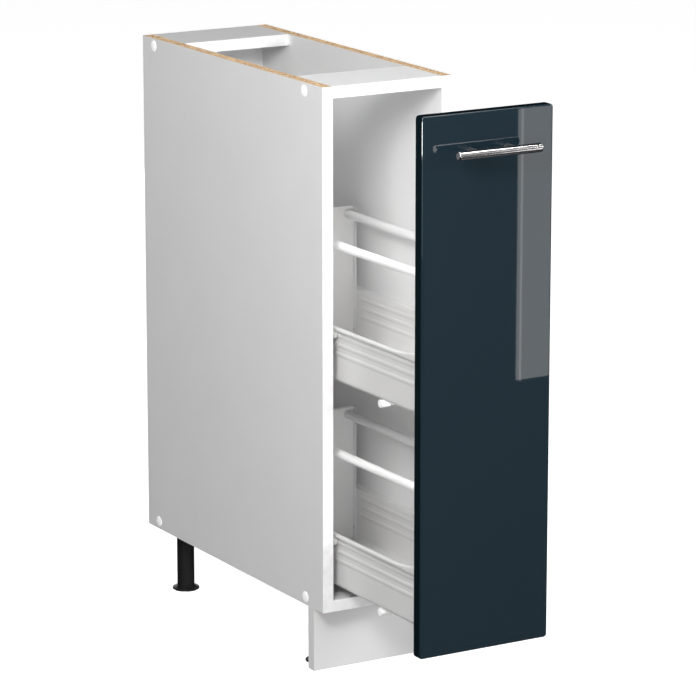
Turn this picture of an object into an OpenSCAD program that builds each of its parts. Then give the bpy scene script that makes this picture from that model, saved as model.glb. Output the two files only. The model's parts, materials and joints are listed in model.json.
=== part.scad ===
// Narrow pull-out larder base unit, drawn with its front part of the way out.
// X runs from left to right, Y from the front to the rear and Z up, in millimetres.
// The origin lies on the floor, in the middle of the whole unit's footprint.

/* [Carcass] */
// Outside width of the carcass
unit_w = 200; // [180:10:300]
// Depth of the carcass, front edging included
unit_d = 510; // [500:5:600]
// Height of the carcass without its legs
unit_h = 720; // [690:10:780]
// Thickness of the chipboard
board_t = 16; // [15:0.5:19]
// Thickness of the edging on the front edges
edging_t = 1; // [0.5:0.5:2]
// Depth of each of the two top rails
top_rail_d = 96; // [70:2:120]
// Thickness of the back panel
back_t = 3; // [2.5:0.5:5]
// Distance from the rear edges to the back panel
back_inset = 16; // [10:1:24]
// Depth of the grooves that hold the back panel
groove_depth = 6; // [4:0.5:8]

/* [Carcass screws] */
// Height of the screws above the underside, and their drop below the top
screw_edge = 11; // [9:0.5:12]
// Distance from the front to the front screws
screw_front = 48; // [30:1:54]
// Distance from the rear to the rear screws
screw_rear = 33; // [28:1:40]
// Thread diameter of the carcass screws
screw_d = 5; // [4:0.5:6]
// Head diameter of the carcass screws
screw_head_d = 9; // [8:0.5:11]
// Length of the carcass screws
screw_l = 50; // [40:5:60]
// Diameter of the cover caps
cap_d = 15.5; // [13:0.5:18]
// Height of the domed cover caps
cap_h = 1.8; // [1:0.1:3]

/* [Legs] */
// Height of the legs with the feet screwed right in
leg_h = 90; // [80:5:140]
// Diameter of the leg columns
column_d = 25; // [24:0.5:32]
// Diameter of the leg flanges
flange_d = 40; // [36:1:50]
// Thickness of the leg flanges
flange_t = 4.5; // [3:0.5:6]
// Diameter of the step under each flange
step_d = 32; // [29:0.5:35]
// Thickness of the step under each flange
step_t = 4; // [2:0.5:6]
// Diameter of the peg that holds each leg in the bottom panel
peg_d = 10; // [8:0.5:12]
// Length of the pegs
peg_l = 11; // [8:0.5:13]
// Distance from the unit's sides to the leg centres
leg_side = 32.5; // [30:0.5:36]
// Distance from the front to the front leg centres
leg_front = 66.5; // [62:0.5:80]
// Distance from the rear to the rear leg centres
leg_rear = 52.5; // [46:0.5:80]
// Diameter of the adjustable feet
foot_d = 39; // [36:0.5:46]
// Thickness of the feet at the rim
foot_rim_t = 3; // [2:0.5:4]
// Diameter of the foot stems
stem_d = 19; // [17:0.5:20]
// Length of the foot stems inside the legs
stem_l = 45; // [35:1:55]
// Grip notches around each foot
foot_notches = 6; // [4:1:12]

/* [Plinth] */
// Thickness of the plinth panel
plinth_t = 16; // [12:0.5:19]
// Distance of the plinth behind the carcass front
plinth_setback = 25; // [20:1:28]
// Gap between the plinth and the floor
plinth_gap = 1.5; // [1:0.5:4]
// Height of the clips that hold the plinth on the front legs
clip_h = 14; // [10:1:20]

/* [Front panel] */
// Thickness of the front panel
front_t = 16; // [15:0.5:22]
// Gap between the panel's edges and the unit's sides
front_side_gap = 1.5; // [1:0.25:2.5]
// Height of the panel's lower edge above the carcass underside
front_low = 4; // [2:0.5:8]
// Drop of the panel's upper edge below the carcass top
front_high = 1; // [0:0.5:4]
// Radius of the panel's front edges and corners
front_round = 2.5; // [1:0.5:4]
// How far the front stands out in this pose
pull_out = 232; // [150:1:240]
// Height of the buffers behind the front panel
buffer_h = 1.8; // [1:0.1:1.9]

/* [Handle] */
// Diameter of the handle bar
bar_d = 12; // [10:0.5:14]
// Length of the handle bar
bar_l = 125; // [100:5:150]
// Drop of the bar's axis below the front panel's upper edge
bar_drop = 49; // [30:1:80]
// Distance from the front panel to the bar's axis
bar_out = 28; // [22:0.5:40]
// Diameter of the handle posts
post_d = 8; // [7:0.5:9]
// Distance between the handle posts
post_gap = 56; // [48:2:80]

/* [Baskets] */
// Length of the trays
tray_l = 438; // [420:1:445]
// Height of the trays up to the rims
tray_h = 80; // [74:1:95]
// Thickness of the basket sheet metal
sheet_t = 1.2; // [1:0.1:1.5]
// Outside radius of the long lower edges of the trays
tray_round = 6; // [4:0.5:8]
// Height of the lower tray above the bottom panel
tray_low = 13; // [11:0.5:24]
// Distance from one tray to the next
tray_pitch = 287; // [280:1:300]
// Width of the tray rims outside the walls
rim_out = 5; // [4:0.25:6]
// Height of the tray rims
rim_h = 7; // [5:0.5:9]
// Radius of the upward sweep at the front of the rims
sweep_r = 230; // [180:5:300]
// Length of the upward sweep
sweep_l = 92; // [60:1:110]
// Number of ribs pressed into each tray wall
rib_count = 3; // [1:1:4]
// Drop of the uppermost rib below the rim
rib_drop = 17; // [14:0.5:20]
// Distance from one rib to the next
rib_pitch = 12.5; // [8:0.5:14]
// Height of the tray ends above the tray floor
end_h = 194; // [150:1:220]
// Width of the flanges on the tray ends
end_flange = 7; // [6:0.5:10]
// Radius of the upper corners of the tray ends
end_round = 6; // [3:0.5:10]
// Diameter of the side rails
rail_d = 10.5; // [8:0.5:14]
// Height of the side rails above the tray underside
rail_z = 183; // [120:1:185]
// Distance from the tray walls to the side rails
rail_in = 11.5; // [10:0.5:20]
// Distance from the front panel to the catches under the trays
catch_front = 135; // [60:5:300]

/* [Runners] */
// Space between the carcass sides and the tray walls
runner_gap = 14; // [13.5:0.25:15]
// Thickness of the runner steel
runner_t = 1.2; // [1:0.1:1.5]
// Length of the runners
runner_l = 460; // [440:5:470]
// Distance from the front of the carcass to the runners
runner_front = 4; // [2:0.5:6]
// Diameter of the runner rollers
roller_d = 13; // [11:0.5:14]
// Width of the runner rollers
roller_w = 7; // [6:0.25:7.5]
// Distance from the front of the carcass to the front rollers
roller_front = 15; // [13:0.5:18]
// Distance from the rear of the trays to the rear rollers
roller_rear = 14; // [12:0.5:24]
// Diameter of the roller pins
pin_d = 5; // [4:0.25:6]

/* [Hidden] */

$fn = 64;

// Sides and levels
LEFT = -1;
RIGHT = 1;
LOWER = 0;
UPPER = 1;

// Clearances
cut = 1;              // how far a cutting shape runs past the face it cuts
hole_play = 0.05;     // radial play of a screw, peg or pin in its hole
roll_gap = 0.2;       // gap between a roller and what it rolls on
stem_play = 0.3;      // radial play of a foot stem in its leg
foot_gap = 0.3;       // gap between a leg and its foot

// Carcass
base_z = leg_h;
top_z = base_z + unit_h;
side_x = unit_w / 2;
inner_x = side_x - board_t;
inner_w = 2 * inner_x;
back_y = unit_d - back_inset - back_t;
handle_reach = pull_out + front_t + bar_out + bar_d / 2;
frame_y = (handle_reach - unit_d) / 2;

// Carcass screws
screw_cone_h = screw_head_d / 2 - screw_d / 2;
screw_y = [screw_front, unit_d - screw_rear];
screw_z = [base_z + screw_edge, top_z - screw_edge];
screw_core = 2;       // height of the blind tip under a hole

// Legs
leg_x = side_x - leg_side;
leg_y = [leg_front, unit_d - leg_rear];
foot_dome_h = 2.2;    // rise of a foot from its rim to its column
foot_top = foot_rim_t + foot_dome_h;
column_low = foot_top + foot_gap;
stem_top = column_low + stem_l;
stem_end_gap = 2;     // gap between the end of a stem and the end of its bore
bore_top = stem_top + stem_end_gap;
notch_r = 2;

// Plinth clips
clip_t = 3;
clip_base_w = 30;
clip_mid_z = base_z / 2;
clip_mouth = 104;     // angle of the clips' mouths

// Front panel
front_w = unit_w - 2 * front_side_gap;
front_z = base_z + front_low;
front_top = top_z - front_high;
front_h = front_top - front_z;
front_back = -pull_out;
front_face = front_back - front_t;
buffer_d = 8;
buffer_edge = 40;

// Handle
bar_z = front_top - bar_drop;
bar_y = front_face - bar_out;
bar_chamfer = 0.8;
handle_screw_d = 4;
handle_thread_l = 12;
pan_h = 2.2;
pan_extra = 2;        // how far a pan head stands out round its shank

// Trays
tray_x = inner_x - runner_gap;
rim_x = tray_x + rim_out;
wall_x = tray_x - sheet_t;
tray_front = front_back;
tray_rear = tray_front + tray_l;
ledge_z = tray_h - rim_h;
sweep_y = tray_front + sweep_l;
sweep_angle = asin(sweep_l / sweep_r);
sweep_rise = sweep_r - sweep_r * cos(sweep_angle);
rim_round = 2;
rib_r = 2.4;
rib_depth = 0.6;
rib_end = 18;         // plain length of the wall at each end of a rib
rivet_d = 4;
rivet_head_d = 7;
rivet_head_h = 1;
rivet_tail_out = 0.5; // how far a rivet's tail stands out round its shank
rivet_z = 18;         // height of the rivets above a tray's underside
rivet_inset = 4.2;    // distance of the rivets from a tray's ends
rail_x = tray_x - rail_in;
rail_thread_l = 12;
bracket_screw_d = 3.5;
bracket_screw_l = 12;
bracket_side = 22;    // distance of the bracket screws from the tray walls
bracket_low = 60;     // heights of the bracket screws above a tray's underside
bracket_high = 170;
bracket_levels = [bracket_low, bracket_high];

// Catches under the trays
catch_y = tray_front + catch_front;
catch_d = 10.5;
catch_w = 9;          // width of a catch under the tray's flat floor
catch_out = 5;        // how far a catch's head stands out beyond its tongue
catch_tongue = 24;
catch_tongue_t = 2.4;

// Rollers
wall_gap = 1;         // gap between a tray wall and its rollers
track_gap = 3;        // gap between a tray wall and the runner tracks
guard_gap = 1;        // gap between a runner guard and the rim or the rear roller
roller_r = roller_d / 2;
roller_z = ledge_z - roll_gap - roller_r;
roller_x = tray_x + wall_gap + roller_w / 2;
track_z = roller_z - roller_r - roll_gap;
track_reach = runner_gap - track_gap;
track_start = 4;      // gap between a front roller and the start of its track
track_front = roller_front + roller_r + track_start;
guard_reach = runner_gap - rim_out - guard_gap;
guard_z = roller_z + roller_r + guard_gap;
pin_head_d = 8;
pin_head_h = 0.6;
runner_screw_d = 4;
runner_screw_l = 12;
runner_head_h = 1.4;
first_screw = 36;     // distance of the first screw from a runner's front
screw_pitch = 192;
runner_screw_y = [for (i = [0 : 2]) runner_front + first_screw + i * screw_pitch];

// Height of a tray's underside above the floor
function tray_z(level) = base_z + board_t + tray_low + level * tray_pitch;

// Moves what is drawn from the carcass's front onto the unit's own origin
module placed() {
    translate([0, frame_y, 0]) children();
}

// Draws a left-hand piece, or its mirror image on the right
module on_side(side) {
    mirror([side == RIGHT ? 1 : 0, 0, 0]) children();
}

// Box between two corners
module block(low, high) {
    translate(low) cube(high - low);
}

// Round bar along X
module rod_x(x0, x1, y, z, d) {
    translate([x0, y, z]) rotate([0, 90, 0]) cylinder(h = x1 - x0, d = d);
}

// Round bar along Y
module rod_y(x, y0, y1, z, d) {
    translate([x, y0, z]) rotate([-90, 0, 0]) cylinder(h = y1 - y0, d = d);
}

// Rectangle with four round corners, centred on X and standing on Y = 0
module round_plate(w, h, r) {
    translate([-w / 2 + r, 0]) square([w - 2 * r, h]);
    translate([-w / 2, r]) square([w, h - 2 * r]);
    for (x = [-w / 2 + r, w / 2 - r], y = [r, h - r]) translate([x, y]) circle(r);
}

// Rectangle with two round upper corners, centred on X and standing on Y = 0
module arch_plate(w, h, r) {
    translate([-w / 2, 0]) square([w, h - r]);
    translate([-w / 2 + r, 0]) square([w - 2 * r, h]);
    for (x = [-w / 2 + r, w / 2 - r]) translate([x, h - r]) circle(r);
}

// Stands a drawing in X and Z upright, with its thickness along Y
module upright(y0, y1) {
    translate([0, y1, 0]) rotate([90, 0, 0]) linear_extrude(y1 - y0) children();
}

// --- Carcass -------------------------------------------------------------

// Hole for one carcass screw, with its countersink in the outer face
module screw_hole(y, z) {
    r = screw_d / 2 + hole_play;
    head_r = screw_head_d / 2 + hole_play;
    rod_x(-side_x - cut, -side_x + screw_l + screw_core, y, z, 2 * r);
    translate([-side_x, y, z]) rotate([0, 90, 0])
        rotate_extrude() polygon([
            [0, -cut], [head_r + cut, -cut], [r, head_r - r], [0, head_r - r]
        ]);
}

module screw_holes() {
    for (side = [LEFT, RIGHT], y = screw_y, z = screw_z) on_side(side) screw_hole(y, z);
}

module side_panel(side) {
    on_side(side) difference() {
        block([-side_x, edging_t, base_z], [-inner_x, unit_d, top_z]);
        block([-inner_x - groove_depth, back_y, base_z + board_t],
              [-inner_x + cut, back_y + back_t, top_z - board_t]);
        for (y = screw_y, z = screw_z) screw_hole(y, z);
        for (level = [LOWER, UPPER], y = runner_screw_y)
            rod_x(-inner_x - runner_screw_l - screw_core, -inner_x + cut, y,
                  tray_z(level) + roller_z, runner_screw_d + 2 * hole_play);
    }
}

module left_side_panel() {
    color("gainsboro") placed() side_panel(LEFT);
}

module right_side_panel() {
    color("gainsboro") placed() side_panel(RIGHT);
}

module bottom_panel() {
    color("whitesmoke") placed() difference() {
        block([-inner_x, edging_t, base_z], [inner_x, unit_d, base_z + board_t]);
        screw_holes();
        for (x = [-leg_x, leg_x], y = leg_y)
            translate([x, y, base_z - cut])
                cylinder(h = peg_l + screw_core + cut, d = peg_d + 2 * hole_play);
    }
}

module front_top_rail() {
    color("gainsboro") placed() difference() {
        block([-inner_x, edging_t, top_z - board_t], [inner_x, top_rail_d, top_z]);
        screw_holes();
    }
}

module rear_top_rail() {
    color("gainsboro") placed() difference() {
        block([-inner_x, unit_d - top_rail_d, top_z - board_t], [inner_x, unit_d, top_z]);
        screw_holes();
    }
}

// Thin board that stands in the side panels' grooves
module back_panel() {
    reach = inner_x + groove_depth;
    color("darkgray") placed()
        block([-reach, back_y, base_z + board_t], [reach, back_y + back_t, top_z - board_t]);
}

// Strips glued to the front edges of both sides, the bottom and the front rail
module front_edging() {
    color("white") placed() {
        block([-side_x, 0, base_z], [-inner_x, edging_t, top_z]);
        block([inner_x, 0, base_z], [side_x, edging_t, top_z]);
        block([-inner_x, 0, base_z], [inner_x, edging_t, base_z + board_t]);
        block([-inner_x, 0, top_z - board_t], [inner_x, edging_t, top_z]);
    }
}

// Countersunk screw along X, its head flush with the outer face
module carcass_screw(y, z) {
    core_r = screw_d / 2;
    head_r = screw_head_d / 2;
    tip_r = 1;
    socket_r = 1.6;
    socket_depth = 2;
    translate([-side_x, y, z]) rotate([0, 90, 0])
        rotate_extrude() polygon([
            [socket_r, 0], [head_r, 0], [core_r, screw_cone_h], [core_r, screw_l - core_r],
            [tip_r, screw_l], [0, screw_l], [0, socket_depth], [socket_r, socket_depth]
        ]);
}

module carcass_screws() {
    color("silver") placed()
        for (side = [LEFT, RIGHT], y = screw_y, z = screw_z) on_side(side) carcass_screw(y, z);
}

// Domed disc over one screw head, its rim rounded over into the dome
module cover_cap(y, z) {
    rim_t = 0.6;
    rings = 6;
    r = cap_d / 2;
    dome = [for (i = [0 : rings]) [r * cos(90 * i / rings),
                                   rim_t + (cap_h - rim_t) * sin(90 * i / rings)]];
    translate([-side_x, y, z]) rotate([0, -90, 0])
        rotate_extrude() polygon(concat([[0, 0], [r, 0]], dome));
}

module cover_caps() {
    color("white") placed()
        for (side = [LEFT, RIGHT], y = screw_y, z = screw_z) on_side(side) cover_cap(y, z);
}

// --- Plinth --------------------------------------------------------------

module plinth_panel() {
    color("gainsboro") placed()
        block([-side_x, plinth_setback, plinth_gap],
              [side_x, plinth_setback + plinth_t, base_z]);
}

// Plate on the plinth's rear face with a sprung ring round the leg column
module plinth_clip(x) {
    plate_y = plinth_setback + plinth_t;
    ring_r = column_d / 2 + hole_play;
    reach = 2 * column_d;
    translate([x, 0, clip_mid_z - clip_h / 2]) {
        block([-clip_base_w / 2, plate_y, -clip_h / 2],
              [clip_base_w / 2, plate_y + clip_t, 3 * clip_h / 2]);
        difference() {
            union() {
                translate([0, leg_front, 0]) cylinder(h = clip_h, r = ring_r + clip_t);
                block([-clip_base_w / 4, plate_y + clip_t, 0], [clip_base_w / 4, leg_front, clip_h]);
            }
            translate([0, leg_front, -cut]) cylinder(h = clip_h + 2 * cut, r = ring_r);
            translate([0, leg_front, -cut]) linear_extrude(clip_h + 2 * cut) polygon([
                [0, 0], [reach * sin(clip_mouth / 2), reach * cos(clip_mouth / 2)],
                [-reach * sin(clip_mouth / 2), reach * cos(clip_mouth / 2)]
            ]);
        }
    }
}

module plinth_clips() {
    color("dimgray") placed() for (x = [-leg_x, leg_x]) plinth_clip(x);
}

// --- Legs and feet -------------------------------------------------------

// Hollow column with a stepped flange, a peg on top and a bore from below
module leg(x, y) {
    bore_r = stem_d / 2 + stem_play;
    color("black") placed() translate([x, y, 0]) rotate_extrude() polygon([
        [bore_r, column_low], [column_d / 2, column_low],
        [column_d / 2, base_z - flange_t - step_t], [step_d / 2, base_z - flange_t - step_t],
        [step_d / 2, base_z - flange_t], [flange_d / 2, base_z - flange_t],
        [flange_d / 2, base_z], [peg_d / 2, base_z], [peg_d / 2, base_z + peg_l],
        [0, base_z + peg_l], [0, bore_top], [bore_r, bore_top]
    ]);
}

module front_left_leg() {
    leg(-leg_x, leg_y[0]);
}

module front_right_leg() {
    leg(leg_x, leg_y[0]);
}

module rear_left_leg() {
    leg(-leg_x, leg_y[1]);
}

module rear_right_leg() {
    leg(leg_x, leg_y[1]);
}

// Round foot with grip notches and a stem that screws into the leg
module foot(x, y) {
    rim_r = foot_d / 2;
    stem_r = stem_d / 2;
    hub_r = column_d / 2;
    hub_run = 2;
    edge = 0.6;
    tip = 1;
    color("black") placed() translate([x, y, 0]) difference() {
        rotate_extrude() polygon([
            [0, 0], [rim_r - edge, 0], [rim_r, edge], [rim_r, foot_rim_t - edge],
            [rim_r - edge, foot_rim_t], [hub_r + hub_run, foot_rim_t + edge], [hub_r, foot_top],
            [stem_r, foot_top], [stem_r, stem_top - tip], [stem_r - tip, stem_top], [0, stem_top]
        ]);
        for (i = [0 : foot_notches - 1])
            rotate([0, 0, (i + 0.5) * 360 / foot_notches])
                translate([0, -rim_r - notch_r / 4, -cut])
                    cylinder(h = foot_rim_t + edge + 2 * cut, r = notch_r);
    }
}

module front_left_foot() {
    foot(-leg_x, leg_y[0]);
}

module front_right_foot() {
    foot(leg_x, leg_y[0]);
}

module rear_left_foot() {
    foot(-leg_x, leg_y[1]);
}

module rear_right_foot() {
    foot(leg_x, leg_y[1]);
}

// --- Runners and rollers --------------------------------------------------

// Channel of folded steel: a web on the side panel, a track and a guard above it
module runner(side, level) {
    web_x = -inner_x + runner_t;
    z0 = track_z - runner_t;
    z1 = guard_z + runner_t;
    rear = runner_front + runner_l;
    nose_r = (z1 - z0) / 2;
    nose_y = runner_front + nose_r;
    color("white") placed() on_side(side) translate([0, 0, tray_z(level)]) difference() {
        union() {
            block([-inner_x, nose_y, z0], [web_x, rear, z1]);
            rod_x(-inner_x, web_x, nose_y, (z0 + z1) / 2, 2 * nose_r);
            block([-inner_x, track_front, z0], [-inner_x + track_reach, rear, track_z]);
            block([-inner_x, track_front, guard_z], [-inner_x + guard_reach, rear, z1]);
            block([-inner_x, rear - runner_t, z0], [-inner_x + guard_reach, rear, z1]);
        }
        for (y = runner_screw_y)
            rod_x(-inner_x - cut, web_x + cut, y, roller_z, runner_screw_d + 2 * hole_play);
    }
}

module upper_left_runner() {
    runner(LEFT, UPPER);
}

module upper_right_runner() {
    runner(RIGHT, UPPER);
}

module lower_left_runner() {
    runner(LEFT, LOWER);
}

module lower_right_runner() {
    runner(RIGHT, LOWER);
}

// Low-headed screws through the runner webs into the side panels
module runner_screws() {
    head_x = -inner_x + runner_t;
    color("silver") placed()
        for (side = [LEFT, RIGHT], level = [LOWER, UPPER], y = runner_screw_y)
            on_side(side) translate([0, 0, tray_z(level)]) {
                rod_x(-inner_x - runner_screw_l, head_x, y, roller_z, runner_screw_d);
                rod_x(head_x, head_x + runner_head_h, y, roller_z, runner_screw_d + 2 * pan_extra);
            }
}

// Flanged roller with a bore for its pin, on the left at the origin's height
module roller(side, level, y) {
    bore_r = pin_d / 2 + hole_play;
    half_w = roller_w / 2;
    edge = 0.6;
    hub_r = pin_head_d / 2;
    dish = 0.7;
    color("white") placed() on_side(side)
        translate([-roller_x, y, tray_z(level) + roller_z]) rotate([0, 90, 0])
            rotate_extrude() polygon([
                [bore_r, -half_w], [hub_r, -half_w], [hub_r + dish / 2, -half_w + dish],
                [roller_r - 2 * dish, -half_w + dish], [roller_r - dish, -half_w],
                [roller_r - edge, -half_w], [roller_r, -half_w + edge],
                [roller_r, half_w - edge], [roller_r - edge, half_w],
                [roller_r - dish, half_w], [roller_r - 2 * dish, half_w - dish],
                [hub_r + dish / 2, half_w - dish], [hub_r, half_w], [bore_r, half_w]
            ]);
}

module upper_left_front_roller() {
    roller(LEFT, UPPER, roller_front);
}

module upper_right_front_roller() {
    roller(RIGHT, UPPER, roller_front);
}

module lower_left_front_roller() {
    roller(LEFT, LOWER, roller_front);
}

module lower_right_front_roller() {
    roller(RIGHT, LOWER, roller_front);
}

module upper_left_rear_roller() {
    roller(LEFT, UPPER, tray_rear - roller_rear);
}

module upper_right_rear_roller() {
    roller(RIGHT, UPPER, tray_rear - roller_rear);
}

module lower_left_rear_roller() {
    roller(LEFT, LOWER, tray_rear - roller_rear);
}

module lower_right_rear_roller() {
    roller(RIGHT, LOWER, tray_rear - roller_rear);
}

// Headed pins that stand on the runner webs and carry the front rollers
module front_roller_pins() {
    web_x = -inner_x + runner_t;
    free_x = -roller_x + roller_w / 2 + roll_gap;
    collar_x = -roller_x - roller_w / 2 - roll_gap;
    color("silver") placed() for (side = [LEFT, RIGHT], level = [LOWER, UPPER])
        on_side(side) translate([0, 0, tray_z(level)]) {
            rod_x(web_x, free_x, roller_front, roller_z, pin_d);
            rod_x(web_x, collar_x, roller_front, roller_z, pin_head_d);
            rod_x(free_x, free_x + pin_head_h, roller_front, roller_z, pin_head_d);
        }
}

// Headed pins that stand on the tray walls and carry the rear rollers
module rear_roller_pins() {
    y = tray_rear - roller_rear;
    free_x = -roller_x - roller_w / 2 - roll_gap;
    collar_x = -roller_x + roller_w / 2 + roll_gap;
    color("silver") placed() for (side = [LEFT, RIGHT], level = [LOWER, UPPER])
        on_side(side) translate([0, 0, tray_z(level)]) {
            rod_x(free_x, -tray_x, y, roller_z, pin_d);
            rod_x(collar_x, -tray_x, y, roller_z, pin_head_d);
            rod_x(free_x - pin_head_h, free_x, y, roller_z, pin_head_d);
        }
}

// --- Front panel and handle ------------------------------------------------

// Slab with round front edges and round corners
module soft_slab() {
    r = front_round;
    x = front_w / 2 - r;
    z0 = front_z + r;
    z1 = front_top - r;
    y = front_face + r;
    translate([0, 0, front_z]) upright(y, front_back) round_plate(front_w, front_h, r);
    block([-x, front_face, z0], [x, front_back, z1]);
    for (z = [z0, z1]) rod_x(-x, x, y, z, 2 * r);
    for (side = [-x, x]) {
        translate([side, y, z0]) cylinder(h = z1 - z0, r = r);
        for (z = [z0, z1]) translate([side, y, z]) sphere(r);
    }
}

module front_panel() {
    color("darkslategray") placed() difference() {
        soft_slab();
        for (x = [-post_gap / 2, post_gap / 2])
            rod_y(x, front_face - cut, front_back + cut, bar_z, handle_screw_d + 2 * hole_play);
        each_bracket_screw()
            rod_y(0, -bracket_screw_l - screw_core, cut, 0, bracket_screw_d + 2 * hole_play);
    }
}

// Small pads between the front panel and the carcass
module front_buffers() {
    x = side_x - board_t / 2;
    color("lightgray") placed()
        for (side = [-x, x], z = [base_z + buffer_edge, top_z - buffer_edge])
            rod_y(side, front_back, front_back + buffer_h, z, buffer_d);
}

module handle_bar() {
    r = bar_d / 2;
    c = bar_chamfer;
    half_l = bar_l / 2;
    color("silver") placed() translate([0, bar_y, bar_z]) rotate([0, 90, 0])
        rotate_extrude() polygon([
            [0, -half_l], [r - c, -half_l], [r, c - half_l],
            [r, half_l - c], [r - c, half_l], [0, half_l]
        ]);
}

// Posts that are hollowed to sit on the bar, each with a thread for its screw
module handle_posts() {
    color("silver") placed() for (x = [-post_gap / 2, post_gap / 2]) difference() {
        rod_y(x, bar_y, front_face, bar_z, post_d);
        rod_x(x - post_d, x + post_d, bar_y, bar_z, bar_d);
        rod_y(x, front_face - handle_thread_l - screw_core, front_face + cut, bar_z,
              handle_screw_d + 2 * hole_play);
    }
}

// Pan-headed screws from behind the front panel into the posts
module handle_screws() {
    color("silver") placed() for (x = [-post_gap / 2, post_gap / 2]) {
        rod_y(x, front_face - handle_thread_l, front_back, bar_z, handle_screw_d);
        rod_y(x, front_back, front_back + pan_h, bar_z, handle_screw_d + 2 * pan_extra);
    }
}

// --- Baskets -----------------------------------------------------------------

// Section of a tray across its length: floor, round lower edges and walls
module tray_section() {
    r = tray_round;
    inner_r = r - sheet_t;
    top = ledge_z + sheet_t;
    difference() {
        union() {
            translate([-tray_x + r, 0]) square([2 * (tray_x - r), r]);
            for (x = [-tray_x + r, tray_x - r]) translate([x, r]) circle(r);
            translate([-tray_x, r]) square([2 * tray_x, top - r]);
        }
        translate([-wall_x + inner_r, sheet_t]) square([2 * (wall_x - inner_r), top]);
        for (x = [-wall_x + inner_r, wall_x - inner_r]) translate([x, r]) circle(inner_r);
        translate([-wall_x, r]) square([2 * wall_x, top]);
    }
}

// Section of a rim: how far each point lies below the top, and its X on the left
module rim_section() {
    translate([rim_round, -rim_x]) square([rim_h - rim_round, rim_x - wall_x]);
    translate([0, -rim_x + rim_round]) square([rim_round, rim_x - wall_x - rim_round]);
    translate([rim_round, -rim_x + rim_round]) circle(rim_round);
}

// Side view of one wall above the ledge, with the upward sweep at its front
module wall_outline() {
    top = tray_h - rim_h / 2;
    difference() {
        translate([tray_front, ledge_z]) square([tray_l, top + sweep_rise - ledge_z]);
        translate([sweep_y, top]) square([tray_l, sweep_rise + cut]);
        translate([sweep_y, tray_h + sweep_r]) circle(sweep_r + rim_h / 2, $fn = 256);
    }
}

// Straight rim, its swept front and the flat ledge that runs on the front roller
module rim() {
    translate([0, tray_rear, tray_h]) rotate([90, 90, 0])
        linear_extrude(tray_rear - sweep_y) rim_section();
    intersection() {
        translate([0, sweep_y, tray_h + sweep_r]) rotate([0, 90, 0]) rotate([0, 0, -sweep_angle])
            rotate_extrude(angle = sweep_angle, $fn = 256) translate([sweep_r, 0]) rim_section();
        block([-rim_x, tray_front, ledge_z], [-wall_x, sweep_y, tray_h + sweep_rise]);
    }
    block([-rim_x, tray_front, ledge_z], [-wall_x, sweep_y, ledge_z + sheet_t]);
    translate([-tray_x, 0, 0]) rotate([90, 0, 90]) linear_extrude(sheet_t) wall_outline();
}

// Bar with round ends that presses one rib into a wall
module rib_tool(x, z) {
    y0 = tray_front + rib_end;
    y1 = tray_rear - rib_end;
    rod_y(x, y0, y1, z, 2 * rib_r);
    for (y = [y0, y1]) translate([x, y, z]) sphere(rib_r);
}

function rib_z(i) = tray_h - rib_drop - i * rib_pitch;

// One-piece tray, open at both ends, with rims, pressed ribs and rivet holes
module tray(level) {
    color("white") placed() translate([0, 0, tray_z(level)]) difference() {
        union() {
            upright(tray_front, tray_rear) tray_section();
            for (side = [LEFT, RIGHT]) on_side(side) {
                rim();
                for (i = [0 : rib_count - 1]) intersection() {
                    rib_tool(-wall_x - rib_r + rib_depth, rib_z(i));
                    block([-wall_x - sheet_t / 4, tray_front, 0], [0, tray_rear, tray_h]);
                }
            }
        }
        for (side = [LEFT, RIGHT]) on_side(side) {
            for (i = [0 : rib_count - 1]) rib_tool(-tray_x - rib_r + rib_depth, rib_z(i));
            for (y = rivet_y()) rod_x(-tray_x - cut, -wall_x + cut, y, rivet_z,
                                      rivet_d + 2 * hole_play);
        }
    }
}

module upper_tray() {
    tray(UPPER);
}

module lower_tray() {
    tray(LOWER);
}

// Pressed tray end: a plate with flanges on both sides and on top
module tray_end(level, front_side) {
    y0 = front_side ? tray_front : tray_rear - end_flange;
    y1 = y0 + end_flange;
    pocket_y0 = front_side ? y0 + sheet_t : y0 - cut;
    pocket_y1 = front_side ? y1 + cut : y1 - sheet_t;
    h = end_h - sheet_t;
    color("gainsboro") placed() translate([0, 0, tray_z(level) + sheet_t]) difference() {
        upright(y0, y1) intersection() {
            arch_plate(2 * wall_x, h, end_round);
            foot_plate(h);
        }
        translate([0, 0, -cut]) upright(pocket_y0, pocket_y1)
            arch_plate(2 * (wall_x - sheet_t), h - sheet_t + cut, end_round - sheet_t);
        translate([0, 0, -sheet_t]) {
            for (side = [LEFT, RIGHT]) on_side(side) {
                rod_x(-wall_x - cut, -wall_x + sheet_t + cut, front_side ? y0 + rivet_inset
                      : y1 - rivet_inset, rivet_z, rivet_d + 2 * hole_play);
                if (!front_side) rod_y(-rail_x, y0 - cut, y1 + cut, rail_z,
                                       handle_screw_d + 2 * hole_play);
                if (front_side) for (z = bracket_levels)
                    rod_y(-tray_x + bracket_side, y0 - cut, y1 + cut, z,
                          bracket_screw_d + 2 * hole_play);
            }
        }
    }
}

// Plate with round lower corners that clear the tray's round lower edges
module foot_plate(h) {
    r = tray_round;
    translate([0, 2 * r]) mirror([0, 1]) arch_plate(2 * wall_x, 2 * r, r);
    translate([-wall_x, r]) square([2 * wall_x, h]);
}

module upper_rear_end() {
    tray_end(UPPER, false);
}

module lower_rear_end() {
    tray_end(LOWER, false);
}

module upper_front_bracket() {
    tray_end(UPPER, true);
}

module lower_front_bracket() {
    tray_end(LOWER, true);
}

// Places of the rivets along a tray
function rivet_y() = [tray_front + rivet_inset, tray_rear - rivet_inset];

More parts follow.
